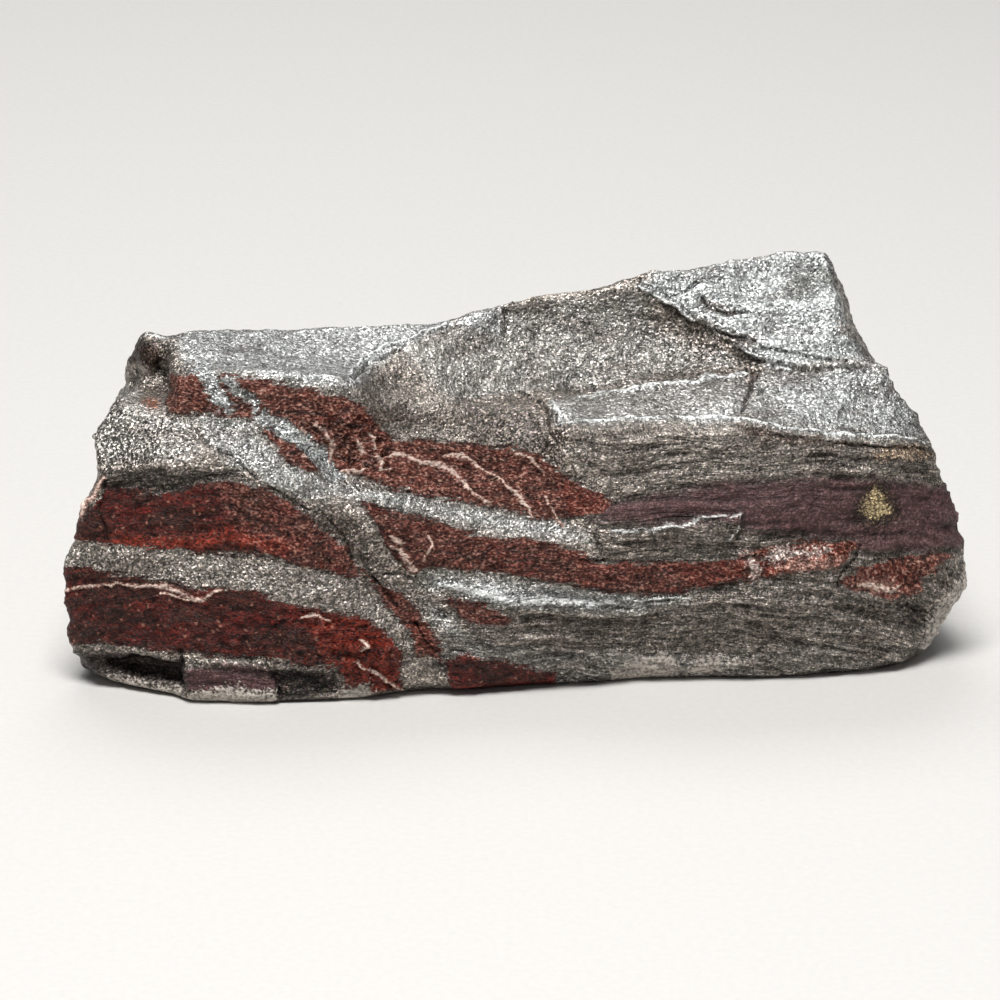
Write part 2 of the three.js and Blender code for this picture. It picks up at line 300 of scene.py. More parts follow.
# Hematite painted brighter, with how far: its shinier bands, and light painted onto upward faces and bevels.
BRIGHT_AND_LIT = {
    "top_face": (0.8, [
        (176, 334), (190, 326), (440, 318), (460, 322), (395, 352), (350, 388), (300, 384), (240, 374),
        (185, 366),
    ]),
    "bulge": (0.3, [
        (90, 440), (100, 410), (130, 390), (165, 415), (200, 420), (205, 440), (190, 462), (100, 462),
    ]),
    "diagonal_band": (0.65, [
        (196, 414), (250, 420), (283, 462), (330, 478), (390, 492), (500, 512), (560, 523), (592, 540),
        (530, 536), (440, 518), (362, 500), (330, 492), (300, 505), (250, 478), (205, 440),
    ]),
    "left_stripe": (0.1, [
        (62, 545), (165, 552), (270, 560), (352, 582), (395, 625), (345, 611), (260, 590), (130, 575),
        (62, 562),
    ]),
    "white_stripe": (0.65, [
        (418, 575), (440, 571), (560, 588), (640, 597), (690, 602), (640, 614), (500, 604), (420, 586),
    ]),
    "foot_middle": (0.3, [
        (430, 640), (520, 652), (600, 650), (690, 652), (690, 680), (560, 686), (440, 660),
    ]),
    "shear_stripe": (0.5, [(424, 600), (440, 608), (470, 640), (540, 655), (480, 652), (430, 622)]),
    "shelf": (0.6, [
        (548, 400), (650, 386), (800, 368), (866, 362), (892, 368), (928, 440), (840, 438), (745, 422),
        (640, 422), (556, 424),
    ]),
    "crest": (1.0, [
        (640, 285), (652, 294), (680, 307), (716, 330), (735, 345), (770, 362), (800, 366), (866, 360),
        (824, 247), (790, 250), (660, 272),
    ]),
    "spur": (1.0, [(734, 344), (752, 343), (768, 350), (804, 358), (806, 370), (770, 368)]),
    "shelf_right": (0.85, [(772, 376), (866, 364), (892, 370), (926, 437), (850, 433), (782, 422)]),
    "foot_right": (0.3, [(700, 652), (880, 636), (905, 650), (880, 674), (760, 680), (700, 678)]),
    "shelf_swirl": (1.0, [(826, 398), (850, 386), (885, 378), (892, 392), (860, 402), (834, 408)]),
    "right_bevel_highlight": (0.7, [(926, 655), (930, 625), (955, 585), (980, 572), (980, 600), (945, 655)]),
    "crest_left": (0.8, [(455, 322), (475, 306), (502, 300), (504, 338), (480, 335)]),
    "hollow": (0.35, [(400, 350), (500, 310), (640, 290), (715, 330), (740, 365), (560, 392), (450, 400)]),
}

# Hematite painted darker, with how far: its dark layers, and shade painted under the bulge and in recesses.
DARK_AND_SHADED = {
    "under_bulge": (0.65, [
        (104, 472), (150, 467), (250, 472), (262, 484), (205, 484), (180, 494), (104, 490),
    ]),
    "shear_zone": (0.6, [(262, 484), (318, 506), (356, 520), (372, 560), (412, 612), (392, 606), (340, 545)]),
    "lower_right": (0.15, [
        (560, 640), (640, 614), (700, 600), (840, 592), (890, 604), (900, 650), (880, 668), (760, 674),
        (690, 650), (600, 648),
    ]),
    "foot_far_left": (1.1, [(66, 646), (115, 651), (182, 661), (182, 684), (150, 680), (92, 672), (66, 662)]),
    "foot_block": (1.0, [(183, 662), (270, 664), (340, 672), (340, 694), (282, 702), (186, 702)]),
    "right_pit": (0.6, [(900, 598), (928, 602), (936, 624), (905, 628)]),
    "purple_seam": (0.7, [
        (606, 504), (720, 483), (850, 478), (950, 488), (985, 505), (985, 545), (862, 554), (745, 530),
        (650, 523), (590, 520),
    ]),
    "shelf_left": (0.5, [(465, 402), (540, 396), (550, 440), (520, 450), (470, 440)]),
    "dish_edge": (0.3, [(646, 296), (680, 310), (716, 334), (735, 350), (700, 350), (660, 334)]),
    "top_left_corner": (1.0, [(134, 345), (164, 345), (158, 368), (140, 366)]),
}

# Fine-grained purple-grey hematite.
PURPLE = {
    "purple_seam": [
        (606, 504), (720, 483), (850, 478), (950, 488), (975, 505), (975, 545), (862, 554), (855, 540),
        (745, 530), (740, 517), (650, 523), (590, 520),
    ],
    "foot_left": [(184, 672), (215, 665), (258, 669), (278, 684), (262, 693), (196, 691)],
}

# Thin pale veins, rims and beads; the curl's pale is partly a painted highlight, and the right glint is a
# painted highlight. Each point carries its half width there, in pixels too.
VEINS = {
    "curl_knot": [(375, 457, 1.5), (383, 462, 2.5), (381, 470, 2.0), (392, 468, 1.5)],
    "upper_vein": [
        (386, 457, 1.6), (400, 455, 2.2), (420, 462, 3.0), (446, 467, 3.6), (460, 482, 2.2), (472, 492, 2.0),
        (488, 503, 2.8),
    ],
    "lower_vein": [
        (445, 457, 2.0), (462, 457, 3.2), (476, 465, 2.0), (488, 474, 1.4), (503, 481, 1.4), (512, 490, 2.4),
        (523, 500, 3.0), (529, 508, 1.5), (532, 516, 1.2),
    ],
    "hair_vein": [(546, 500, 1.8), (552, 510, 1.5), (563, 526, 1.2)],
    "short_vein": [(519, 455, 2.2), (533, 462, 2.0), (543, 471, 1.3)],
    "left_rim": [(66, 590, 1.8), (115, 583, 1.6), (165, 587, 2.4), (200, 599, 2.6), (222, 590, 1.2)],
    "left_rim_low": [(160, 593, 1.2), (190, 600, 1.4), (206, 597, 1.2)],
    "curl": [(316, 425, 1.8), (326, 432, 3.0), (333, 446, 3.4), (331, 461, 1.8)],
    "curl_bead": [(302, 430, 2.6), (305, 433, 2.6)],
    "low_bead": [(303, 456, 2.4), (306, 458, 2.0)],
    "bead_left": [(354, 441, 2.0), (358, 447, 2.6), (362, 453, 2.0)],
    "bead_right": [(366, 433, 1.6), (373, 440, 2.4), (372, 448, 2.0)],
    "bead_low": [(340, 472, 1.4), (358, 473, 1.8), (366, 470, 1.4)],
    "nodule_rim": [(391, 545, 1.6), (402, 551, 3.0), (409, 563, 4.0), (416, 569, 3.2)],
    "nodule_top": [(392, 535, 1.2), (398, 541, 2.4), (405, 545, 1.6)],
    "nodule_arc": [(427, 533, 1.2), (433, 545, 1.6), (424, 558, 1.2)],
    "lobe_arc": [(358, 662, 1.2), (372, 670, 1.8), (388, 682, 1.6), (402, 690, 1.2)],
    "lobe_chip": [(362, 640, 1.2), (367, 646, 2.0), (362, 652, 1.2)],
    "lobe_edge": [(300, 618, 1.2), (318, 616, 1.8), (330, 620, 1.2)],
    "left_edge": [(103, 478, 1.6), (88, 505, 2.2), (74, 532, 2.2), (68, 556, 1.6)],
    # A glint painted on the right seam.
    "right_glint": [(858, 586, 2.0), (872, 584, 4.5), (890, 590, 4.0), (900, 586, 2.0)],
}

# Raised edges of plates and shelves, with a white highlight painted along them, in the same form.
LIPS = {
    "shelf_line": [(578, 396, 2.0), (640, 388, 1.8), (690, 381, 2.0), (747, 372, 1.6)],
    "shelf_lip": [
        (556, 424, 1.2), (600, 420, 1.7), (680, 418, 2.0), (720, 416, 2.1), (760, 422, 1.8), (790, 428, 1.2),
        (850, 436, 1.3), (905, 437, 1.2), (928, 442, 1.0),
    ],
    "plate_edge": [
        (612, 530, 1.0), (650, 527, 1.0), (668, 525, 1.8), (690, 522, 1.2), (704, 518, 1.8), (741, 513, 1.5),
    ],
    "plate_corner": [(741, 513, 1.2), (735, 530, 1.0), (728, 540, 1.0)],
    "crest_line": [(640, 286, 1.0), (652, 294, 1.8), (680, 307, 1.5), (698, 322, 1.0)],
    "spur_rim": [(734, 344, 1.0), (752, 352, 1.8), (768, 362, 2.0), (790, 370, 1.2)],
    "white_band": [(440, 584, 3.0), (485, 592, 6.0), (512, 601, 4.0)],
    "white_dashes": [(522, 600, 3.4), (540, 600, 3.6), (546, 601, 3.2), (578, 602, 3.6), (610, 603, 3.2)],
    "white_thread": [(624, 599, 1.0), (690, 598, 1.0)],
    "top_edge": [(350, 372, 1.0), (365, 356, 1.2), (393, 343, 1.4), (447, 324, 1.0)],
    "block_rim": [(137, 345, 1.8), (150, 338, 2.4), (170, 338, 1.6)],
    "shelf_knob": [(552, 402, 2.2), (560, 412, 2.7), (557, 422, 1.5)],
}

# Open cracks and the feet of steps, in the same form.
CRACKS = {
    "top_edge_foot": [(354, 377, 1.2), (373, 361, 2.2), (402, 349, 1.6)],
    "crest_crack": [(501, 300, 1.4), (506, 318, 2.2), (504, 338, 1.4)],
    "shelf_end": [(520, 390, 1.4), (540, 402, 2.2), (547, 414, 3.0), (544, 428, 2.4), (556, 444, 1.4)],
    "crest_break": [(700, 297, 1.2), (708, 308, 1.8), (724, 315, 1.6), (748, 314, 1.2)],
    "ridge_break": [(716, 329, 1.2), (732, 337, 1.8), (750, 341, 1.6), (762, 348, 1.4), (800, 356, 1.2)],
    "ridge_foot": [(804, 358, 1.2), (826, 360, 1.8), (848, 364, 1.2)],
    "shelf_hole": [(746, 370, 1.2), (757, 374, 2.0), (752, 382, 1.2)],
    "shelf_break": [(755, 378, 1.2), (747, 398, 1.5), (742, 412, 1.2)],
    "shelf_slot": [(748, 398, 1.2), (770, 386, 1.2)],
    "left_crack": [(104, 482, 1.4), (100, 512, 1.2), (112, 548, 1.4)],
    "foot_step": [(181, 650, 1.4), (184, 668, 2.2), (181, 690, 1.8)],
    "foot_crack": [(266, 662, 1.4), (276, 680, 2.0), (282, 700, 1.6)],
    "bulge_crack": [(196, 428, 1.2), (207, 446, 2.2), (226, 452, 1.6), (240, 464, 2.2), (258, 479, 1.4)],
    "shear_first": [(268, 486, 1.2), (290, 500, 1.8), (310, 511, 1.2)],
    "shear_second": [(328, 520, 1.2), (345, 541, 1.8), (352, 558, 1.2)],
    "shear_third": [(372, 576, 1.2), (388, 595, 1.8), (398, 607, 1.2)],
    "shear_last": [(414, 622, 1.2), (426, 640, 1.8), (438, 652, 1.4)],
    "nodule_crack": [(384, 574, 1.2), (398, 574, 1.8), (412, 580, 1.2)],
    "plate_crack": [(580, 560, 1.2), (600, 562, 1.6), (610, 556, 1.2)],
    "right_crack": [(862, 545, 1.4), (856, 560, 2.2), (842, 575, 1.8), (838, 588, 1.4)],
    "right_pit": [(908, 605, 1.6), (920, 612, 3.0), (926, 622, 1.8)],
    "shelf_shadow": [(735, 425, 1.2), (760, 431, 2.2), (790, 436, 2.4), (840, 444, 2.2), (925, 449, 1.4)],
}

# Blocks that stand proud of the face round them, or below it: the height and the width of the ramp at their
# edge in millimetres, and for some the two points of the picture between which the height runs out.
PLATES = {
    "front_plate": {
        "rise": 1.2, "ramp": 0.3, "fade": [(670, 526), (674, 562)],
        "outline": [(600, 532), (682, 524), (740, 514), (735, 535), (720, 562), (600, 560)],
    },
    "foot_block": {
        "rise": 0.8, "ramp": 0.3,
        "outline": [(183, 655), (270, 660), (282, 712), (186, 712)],
    },
    "foot_recess": {
        "rise": -1.6, "ramp": 0.6,
        "outline": [(104, 656), (125, 658), (180, 664), (181, 685), (150, 680), (120, 674), (104, 668)],
    },
    "under_bulge": {
        "rise": -0.4, "ramp": 0.4,
        "outline": [(95, 470), (150, 467), (250, 474), (225, 482), (180, 492), (95, 490)],
    },
    "crest_slab": {
        "rise": 1.2, "ramp": 0.3, "fade": [(745, 350), (790, 280)],
        "outline": [
            (662, 300), (680, 307), (702, 322), (735, 345), (766, 362), (806, 370), (880, 366), (850, 262),
            (720, 280),
        ],
    },
    "first_break": {
        "rise": -0.6, "ramp": 0.6,
        "outline": [(700, 296), (712, 303), (740, 314), (728, 320), (706, 312)],
    },
    "second_break": {
        "rise": -0.6, "ramp": 0.6,
        "outline": [(715, 328), (735, 336), (756, 342), (748, 346), (728, 343)],
    },
    "right_nose": {
        "rise": 1.2, "ramp": 3.0,
        "outline": [(915, 555), (950, 535), (1000, 540), (1000, 592), (955, 600), (920, 590)],
    },
    "crest_end": {
        "rise": -0.9, "ramp": 2.0,
        "outline": [(838, 285), (860, 290), (890, 345), (874, 362), (852, 335)],
    },
    "top_left_block": {
        "rise": 1.8, "ramp": 1.5,
        "outline": [(115, 325), (158, 325), (160, 350), (150, 372), (115, 372)],
    },
    "left_bulge": {
        "rise": 1.2, "ramp": 2.5,
        "outline": [(80, 380), (135, 385), (140, 425), (80, 430)],
    },
    "left_edge": {
        "rise": 0.8, "ramp": 2.5,
        "outline": [(40, 495), (110, 480), (95, 520), (80, 570), (40, 570)],
    },
    "foot_corner": {
        "rise": 1.5, "ramp": 2.5,
        "outline": [(35, 620), (80, 632), (98, 664), (98, 695), (35, 690)],
    },
}

# Front faces that broke along thin beds. The others broke across them, flat and finely grained.
BEDDED = {
    "right_side": [
        (556, 430), (745, 428), (930, 450), (985, 500), (985, 560), (930, 605), (940, 640), (920, 685),
        (440, 692), (430, 610), (600, 560), (590, 520), (620, 495),
    ],
    "under_bulge": [(100, 466), (250, 470), (262, 484), (205, 484), (180, 494), (100, 490)],
    "foot": [(55, 640), (182, 657), (340, 672), (340, 700), (186, 706), (90, 690)],
}

# Jasper with a fresher, brighter red, and how far.
FRESH = {
    "upper_end": (0.4, [(562, 487), (585, 484), (614, 502), (600, 516), (568, 516)]),
    "middle_end": (0.35, [(668, 566), (735, 560), (745, 578), (690, 590)]),
    "glossy": (0.5, [(726, 570), (745, 552), (790, 545), (852, 541), (838, 567), (745, 582)]),
    "lower_lobe": (0.5, [(300, 612), (345, 616), (392, 636), (402, 688), (345, 690), (320, 650)]),
    "right": (0.45, [(846, 582), (864, 566), (905, 562), (918, 580), (890, 598)]),
}

# Jasper weathered to a lighter brown, and how far.
WEATHERED = {
    "upper_seam": (0.8, JASPER["upper_seam"]),
    "middle_seam": (0.5, JASPER["middle_seam"]),
    "shear_seam": (0.5, JASPER["shear_seam"]),
    "left_seam_end": (0.45, [(215, 484), (270, 490), (345, 545), (362, 572), (310, 567), (240, 540)]),
    "glossy_seam": (1.0, JASPER["glossy_seam"]),
    "right_seam": (0.9, JASPER["right_seam"]),
    "lens": (0.5, JASPER["lens"]),
}

# Jasper broken into rounded, shining lumps.
LUMPY = {
    "lower_lobe": [(285, 606), (345, 613), (392, 634), (402, 690), (340, 692), (300, 660)],
    "upper_lobe": [(310, 395), (370, 412), (395, 440), (390, 480), (330, 465), (300, 420)],
    "glossy_seam": JASPER["glossy_seam"],
}

# Stains, glints painted on the glossy seam, and shade painted in breaks and hollows: the colour of each, how
# far it covers the rock, and its outline.
# A brown painted as shade in the breaks and under the shelf's lip.
BREAK_SHADE_BROWN = "#675246"
STAINS = {
    "limonite_rim": ("#33271d", 0.8, [
        (850, 520), (857, 493), (874, 478), (892, 491), (903, 511), (888, 529), (862, 529),
    ]),
    "limonite": ("#cdb78c", 1.0, [(863, 514), (866, 500), (874, 489), (884, 497), (890, 509), (880, 519)]),
    "tan": ("#d0b49c", 1.0, [(872, 455), (890, 449), (918, 448), (930, 456), (885, 459)]),
    "green": ("#4f4d40", 0.5, [
        (783, 264), (800, 258), (832, 270), (838, 282), (815, 290), (796, 302), (786, 290),
    ]),
    "rust": ("#9a4f28", 0.8, [(143, 402), (150, 397), (158, 400), (156, 408), (147, 408)]),
    "first_break": (BREAK_SHADE_BROWN, 0.6, PLATES["first_break"]["outline"]),
    "second_break": (BREAK_SHADE_BROWN, 0.6, PLATES["second_break"]["outline"]),
    "crest_end": ("#8a7159", 0.5, [(838, 322), (852, 320), (857, 338), (843, 336)]),
    "shelf_break": (BREAK_SHADE_BROWN, 0.6, [
        (746, 369), (759, 372), (751, 395), (745, 413), (741, 411), (747, 392),
    ]),
    "shelf_foot": (BREAK_SHADE_BROWN, 0.6, [
        (736, 426), (790, 434), (850, 444), (880, 447), (800, 443), (750, 434),
    ]),
    # Glints painted on the glossy seam.
    "glint_top": ("#e2d2c8", 0.85, [
        (764, 558), (770, 549), (786, 547), (800, 550), (826, 548), (820, 556), (796, 556), (774, 562),
    ]),
    "glint_left": ("#e2d2c8", 0.8, [(743, 552), (752, 552), (761, 566), (758, 580), (750, 576)]),
    "glint_low": ("#c09a8c", 0.7, [(778, 566), (800, 558), (840, 556), (836, 566), (800, 571)]),
    "glint_right": ("#b58f82", 0.7, [(852, 584), (868, 576), (892, 580), (902, 592), (880, 594)]),
    # Shade painted on the top-left block's face and in the foot's recess.
    "block_shade": ("#3a2c25", 0.8, [(138, 348), (162, 347), (164, 358), (156, 366), (141, 362)]),
    "foot_recess": ("#2c2420", 0.5, [(100, 657), (180, 665), (181, 686), (150, 681), (104, 670)]),
}

# The pale crust along the foot, and a pale grey painted as a highlight on the right bevel.
CRUST = {
    "foot_far_left": [(66, 664), (92, 674), (130, 683), (180, 690), (180, 702), (130, 696), (66, 678)],
    "foot_left": [(186, 692), (240, 686), (274, 694), (274, 708), (186, 706)],
    "foot_middle": [(340, 690), (370, 684), (372, 702), (335, 704)],
    "foot_right": [(612, 674), (635, 658), (660, 652), (676, 658), (676, 676), (612, 684)],
    "foot_far_right": [(686, 670), (700, 659), (721, 657), (721, 672), (690, 678)],
    "right_bevel_highlight": [(922, 655), (928, 622), (955, 580), (985, 568), (985, 600), (948, 655)],
}
ORANGE_STREAK = [(120, 541), (180, 545), (230, 533), (280, 548)]


def on_picture(places):
    """Where the camera sees each place, in the picture's pixels."""
    offset = places - CAMERA_AIM
    scale = CAMERA_DISTANCE / (CAMERA_DISTANCE + offset @ VIEW_AHEAD) / (PIXEL_MM * MM)
    across = PICTURE / 2 + offset[:, 0] * scale
    down = PICTURE / 2 - (offset @ VIEW_UP) * scale
    return np.column_stack((across, down))


def from_segment(spots, start, end):
    """Distance of each spot from a straight stretch, in millimetres."""
    run = np.subtract(end, start)
    share = np.clip((spots - start) @ run / (run @ run), 0, 1)
    return np.linalg.norm(spots - start - share[:, None] * run, axis=1) * PIXEL_MM


def from_line(spots, line):
    """Distance of each spot from a bent line, in millimetres."""
    return np.min([from_segment(spots, a, b) for a, b in zip(line, line[1:])], axis=0)


def depth_inside(spots, outline):
    """How far each spot is inside a closed outline, in millimetres, and below zero outside it."""
    ring = outline + outline[:1]
    inside = np.zeros(len(spots), dtype=bool)
    for (x0, y0), (x1, y1) in zip(ring, ring[1:]):
        if y0 != y1:
            crossing = x0 + (spots[:, 1] - y0) * (x1 - x0) / (y1 - y0)
            inside ^= ((y0 > spots[:, 1]) != (y1 > spots[:, 1])) & (spots[:, 0] < crossing)
    edge = from_line(spots, ring)
    return np.where(inside, edge, -edge)


def depth_in_any(spots, outlines):
    """The greatest depth of each spot inside any of the named outlines, in millimetres."""
    return np.max([depth_inside(spots, outline) for outline in outlines.values()], axis=0)


def on_tapered(spots, lines, swell):
    """One on a named line whose points carry half widths, falling to zero beside it."""
    strength = np.zeros(len(spots))
    for line in lines.values():
        for (x0, y0, half0), (x1, y1, half1) in zip(line, line[1:]):
            run = np.array((x1 - x0, y1 - y0))
            share = np.clip((spots - (x0, y0)) @ run / (run @ run), 0, 1)
            away = np.linalg.norm(spots - (x0, y0) - share[:, None] * run, axis=1)
            half = (half0 + (half1 - half0) * share) * swell
            strength = np.maximum(strength, np.exp(-((away / half) ** 2)))
    return strength


def strongest(spots, outlines, blur_mm):
    """The greatest share at each spot of the named outlines that carry one, with blurred edges."""
    shares = []
    for share, outline in outlines.values():
        shares.append(share * soft_step(depth_inside(spots, outline), -blur_mm, blur_mm))
    return np.max(shares, axis=0)


def soft_step(values, low, high):
    """Zero below low and one above high, with a smooth rise between."""
    share = np.clip((values - low) / (high - low), 0, 1)
    return share * share * (3 - 2 * share)


def rough(places, size_mm, octaves, seed):
    """Smooth random values of about -1 to 1 with lumps of this size."""
    scaled = places / (np.array(size_mm) * MM) + seed
    return np.array([noise.fractal(Vector(spot), 1.0, 2.0, octaves) for spot in scaled])


def fine_skin():
    """A copy of the solid's mesh, remade of small even faces with its sharp edges worn a little."""
    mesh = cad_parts["banded_rock"].data.copy()
    shape = bmesh.new()
    shape.from_mesh(mesh)
    bmesh.ops.remove_doubles(shape, verts=shape.verts, dist=WELD)
    shape.to_mesh(mesh)
    shape.free()
    piece = bpy.data.objects.new("specular_hematite_block", mesh)
    bpy.context.collection.objects.link(piece)
    even_faces = piece.modifiers.new("even_faces", "REMESH")
    even_faces.mode = "VOXEL"
    even_faces.voxel_size = FACE_SIZE
    worn_edges = piece.modifiers.new("worn_edges", "SMOOTH")
    worn_edges.factor = WEAR_FACTOR
    worn_edges.iterations = WEAR_ROUNDS
    finished = piece.evaluated_get(bpy.context.evaluated_depsgraph_get())
    piece.data = bpy.data.meshes.new_from_object(finished)
    piece.modifiers.clear()
    piece.data.materials.clear()
    refine_front(piece.data)
    refine_lines(piece.data)
    return piece


def refine_front(mesh):
    """Cuts in four each face that the camera sees, so that the fine breaks of the front keep their edges."""
    toward = Vector(-VIEW_AHEAD)
    shape = bmesh.new()
    shape.from_mesh(mesh)
    seen = [
        edge for edge in shape.edges
        if any(face.normal.dot(toward) > FRONT_FACING for face in edge.link_faces)
    ]
    bmesh.ops.subdivide_edges(shape, edges=seen, cuts=1, use_grid_fill=True)
    shape.to_mesh(mesh)
    shape.free()


def refine_lines(mesh):
    """Cuts once more the faces of the front along its thin veins, lips and cracks."""
    spots = on_picture(vertex_places(mesh))
    tapered = [*VEINS.values(), *LIPS.values(), *CRACKS.values()]
    away = [from_line(spots, [point[:2] for point in line]) for line in tapered]
    seen = vertex_normals(mesh) @ -VIEW_AHEAD > FRONT_FACING
    chosen = (np.min(away, axis=0) < FINE_REACH) & seen
    shape = bmesh.new()
    shape.from_mesh(mesh)
    edges = [edge for edge in shape.edges if all(chosen[vert.index] for vert in edge.verts)]
    bmesh.ops.subdivide_edges(shape, edges=edges, cuts=1, use_grid_fill=True)
    shape.to_mesh(mesh)
    shape.free()


def vertex_places(mesh):
    places = np.empty(len(mesh.vertices) * 3)
    mesh.vertices.foreach_get("co", places)
    return places.reshape(-1, 3)


def vertex_normals(mesh):
    normals = np.empty(len(mesh.vertices) * 3)
    mesh.vertex_normals.foreach_get("vector", normals)
    return normals.reshape(-1, 3)


def vertex_edges(mesh):
    ends = np.empty(len(mesh.edges) * 2, dtype=int)
    mesh.edges.foreach_get("vertices", ends)
    return ends.reshape(-1, 2)


def band_spots(places, facing):
    """Picture places of the vertices, frayed a little and wandering away from the front's on the hidden
    sides, and how far each vertex is behind."""
    deep = soft_step(places[:, 1], FRONT_REACH, FRONT_REACH + WANDER_RUN)
    behind = deep * (1 - soft_step(facing, *STEADY_FACING))
    drift = np.column_stack([rough(places, WANDER_SIZE, 2, seed) for seed in (3.7, 9.1)])
    fray = np.column_stack([rough(places, BAND_FRAY_SIZE, 2, seed) for seed in (1.3, 5.9)])
    spots = on_picture(places) + fray * BAND_FRAY + drift * WANDER * behind[:, None]
    return spots, behind


def read_bands(places, normals):
    """Depths and strengths of every band and line at the vertices."""
    facing = -normals @ VIEW_AHEAD
    spots, behind = band_spots(places, facing)
    front = (1 - behind) * soft_step(facing, *STAIN_FACING)
    lined = (1 - behind) * soft_step(facing, *LINE_FACING)
    hidden = UNSEEN_DEPTH * (1 - front)
    swell = 1 + LINE_SWELL * rough(places, LINE_SWELL_SIZE, 1, 9.4)
    chips = np.column_stack([rough(places, PLATE_FRAY_SIZE, 3, seed) for seed in (2.6, 7.2)])
    ragged = spots + chips * PLATE_FRAY
    strands = depth_in_any(spots, STRANDS) - hidden
    lips = on_tapered(spots, LIPS, swell) * lined
    streak = np.exp(-((from_line(spots, ORANGE_STREAK) / STREAK_HALF) ** 2))
    bedded = soft_step(depth_in_any(spots, BEDDED), *BEDDED_EDGE)
    bands = {
        "jasper": np.minimum(depth_in_any(spots, JASPER), -strands),
        "purple": depth_in_any(spots, PURPLE),
        # The hematite's tone holds light painted on lit faces and shade painted in recesses, besides its own
        # shine.
        "tone": front_tone(spots, strands, lips) * (1 - behind) + hidden_tone(places, normals) * behind,
        "gloss": soft_step(depth_in_any(spots, LUMPY), *LUMPY_EDGE),
        "bed": bed_heights(places),
        "bedded": np.maximum(bedded, HIDDEN_BEDDED * behind),
        "vein": on_tapered(spots, VEINS, swell) * lined,
        "lip": lips,
        "crack": on_tapered(spots, CRACKS, swell) * lined,
        "crust": depth_in_any(spots, CRUST) - hidden,
        "fresh": np.maximum(streak, strongest(spots, FRESH, FRESH_BLUR)) * front,
        "weathered": strongest(spots, WEATHERED, WEATHERED_BLUR) * front,
        "plates": plate_heights(ragged) * (1 - behind),
    }
    for name, (_, _, outline) in STAINS.items():
        bands[name] = depth_inside(spots, outline) - hidden
    return bands


def bed_heights(places):
    """Height of each place across the beds, which look level to the camera, wave, and droop at the right."""
    level = (places - CAMERA_AIM) @ VIEW_UP
    past = np.maximum(places[:, 0] - DROOP_START, 0)
    droop = DROOP_CURVE * past ** 2 * (1 - soft_step(level, DROOP_FOOT, DROOP_TOP))
    return level + BED_WAVE * rough(places, (BED_WAVE_SIZE,) * 3, 2, 4.4) + droop


def plate_heights(spots):
    """How far the named plates stand proud, in millimetres."""
    heights = np.zeros(len(spots))
    for plate in PLATES.values():
        depth = depth_inside(spots, plate["outline"])
        height = plate["rise"] * soft_step(depth, -plate["ramp"], plate["ramp"])
        if "fade" in plate:
            start, end = np.array(plate["fade"])
            run = end - start
            height *= 1 - soft_step((spots - start) @ run / (run @ run), 0, 1)
        heights += height
    return heights


def front_tone(spots, strands, lips):
    """How bright the front's hematite is painted, from 0 for dark layers and painted shade to 1 for shiny
    flakes and painted light.
    """
    shine = np.maximum(strongest(spots, BRIGHT_AND_LIT, BRIGHT_AND_LIT_BLUR), soft_step(strands, *STRAND_EDGE))
    shade = strongest(spots, DARK_AND_SHADED, DARK_AND_SHADED_BLUR)
    return np.clip(MID_TONE + (1 - MID_TONE) * shine - MID_TONE * shade + LIP_HIGHLIGHT_TONE * lips, 0, 1)


def hidden_tone(places, normals):
    """How bright the hematite of the other sides is: painted brighter on upward faces as if lit, and in
    patches.
    """
    patches = soft_step(rough(places, PATCH_SIZE, 3, 7.7), *PATCH_EDGE)
    level = soft_step(normals[:, 2], *UPWARD_LIGHT_EDGE)
    return np.clip(HIDDEN_TONE + PATCH_TONE * patches + UPWARD_LIGHT_TONE * level, 0, 1)


def ledge_heights(places, bed):
    """Heights of layers that broke off each at its own depth, in millimetres."""
    layer = bed / MM / LEDGE_THICK
    heights = []
    for side in (0, 1):
        steps = np.column_stack((places[:, 0], places[:, 1], (np.floor(layer) + side) * LEDGE_LENGTH * MM))
        heights.append(rough(steps, (LEDGE_LENGTH,) * 3, 1, 0.37))
    share = soft_step(layer - np.floor(layer), LEDGE_DROP, 1.0)
    return LEDGE_HEIGHT * (heights[0] * (1 - share) + heights[1] * share)


def relief(places, kind):
    """Heights of one kind of break, in millimetres."""
    return kind["height"] * rough(places, kind["size"], kind["octaves"], kind["seed"])


def broken_heights(places, bands):
    """Height of the broken surface over the smooth form at each vertex, in millimetres."""
    in_beds = np.column_stack((places[:, 0], places[:, 1], bands["bed"]))
    jasper = soft_step(bands["jasper"], *SEAM_EDGE)
    layered = (1 - jasper) * bands["bedded"]
    lumps = np.abs(relief(places, LUMPS)) - LUMP_FOOT
    heights = relief(places, HACKLE) + relief(places, GRAIN)
    heights += relief(in_beds, STRIAE) * (STRIAE_LEAST + (1 - STRIAE_LEAST) * layered)
    heights += ledge_heights(places, bands["bed"]) * (LEDGE_LEAST + (1 - LEDGE_LEAST) * layered)
    heights += relief(in_beds, CRUMBS) * jasper
    heights += lumps * jasper * (LUMP_LEAST + (1 - LUMP_LEAST) * bands["gloss"])
    heights += SEAM_RISE * jasper + VEIN_RISE * bands["vein"] + LIP_RISE * bands["lip"] + bands["plates"]
    heights -= CRACK_DEPTH * bands["crack"]
    return heights


def neighbour_mean(values, edges, rounds):
    """Values averaged with those of their neighbours, again and again."""
    count = np.bincount(edges.ravel(), minlength=len(values))[:, None]
    for _ in range(rounds):
        total = np.zeros_like(values)
        np.add.at(total, edges[:, 0], values[edges[:, 1]])
        np.add.at(total, edges[:, 1], values[edges[:, 0]])
        values = (values + total / count) / 2
    return values


def paint(mesh, name, values):
    """Keeps a value for each vertex on the mesh, for the material."""
    layer = mesh.attributes.new(name, "FLOAT", "POINT")
    layer.data.foreach_set("value", np.ascontiguousarray(values, dtype=np.float32))


